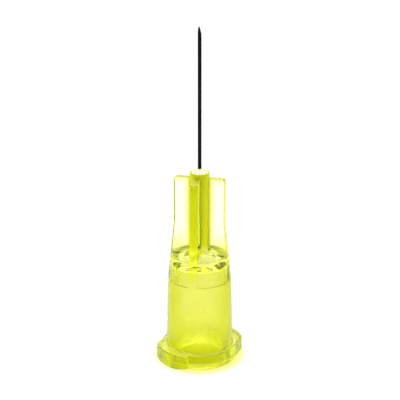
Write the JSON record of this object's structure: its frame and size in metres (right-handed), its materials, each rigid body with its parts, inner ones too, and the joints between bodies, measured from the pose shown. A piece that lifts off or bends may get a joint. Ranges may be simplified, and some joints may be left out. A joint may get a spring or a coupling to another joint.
{
  "type": "hypodermic needle",
  "caption": "Fine hypodermic needle: winged translucent hub with a tapered Luer-lock socket, steel cannula with a lancet point, and the adhesive bead that bonds them.",
  "frame": {"origin": "on the needle's axis at the underside of the flange, where the socket opens", "axes": "+Z runs along the cannula to its point; the four wings of the hub lie along +X, +Y, -X and -Y; the first lock lug lies in the quadrant between +X and +Y"},
  "size_m": [0.0072, 0.0078, 0.0299],
  "materials": {
    "hub_plastic": "clear yellow-green moulded polypropylene, smooth gloss",
    "cannula_steel": "drawn stainless steel tube, ground point",
    "adhesive_resin": "cured cream resin, smooth"
  },
  "bodies": {
    "root": {"hub": "hub_plastic", "cannula": "cannula_steel", "adhesive": "adhesive_resin"}
  },
  "joints": []
}
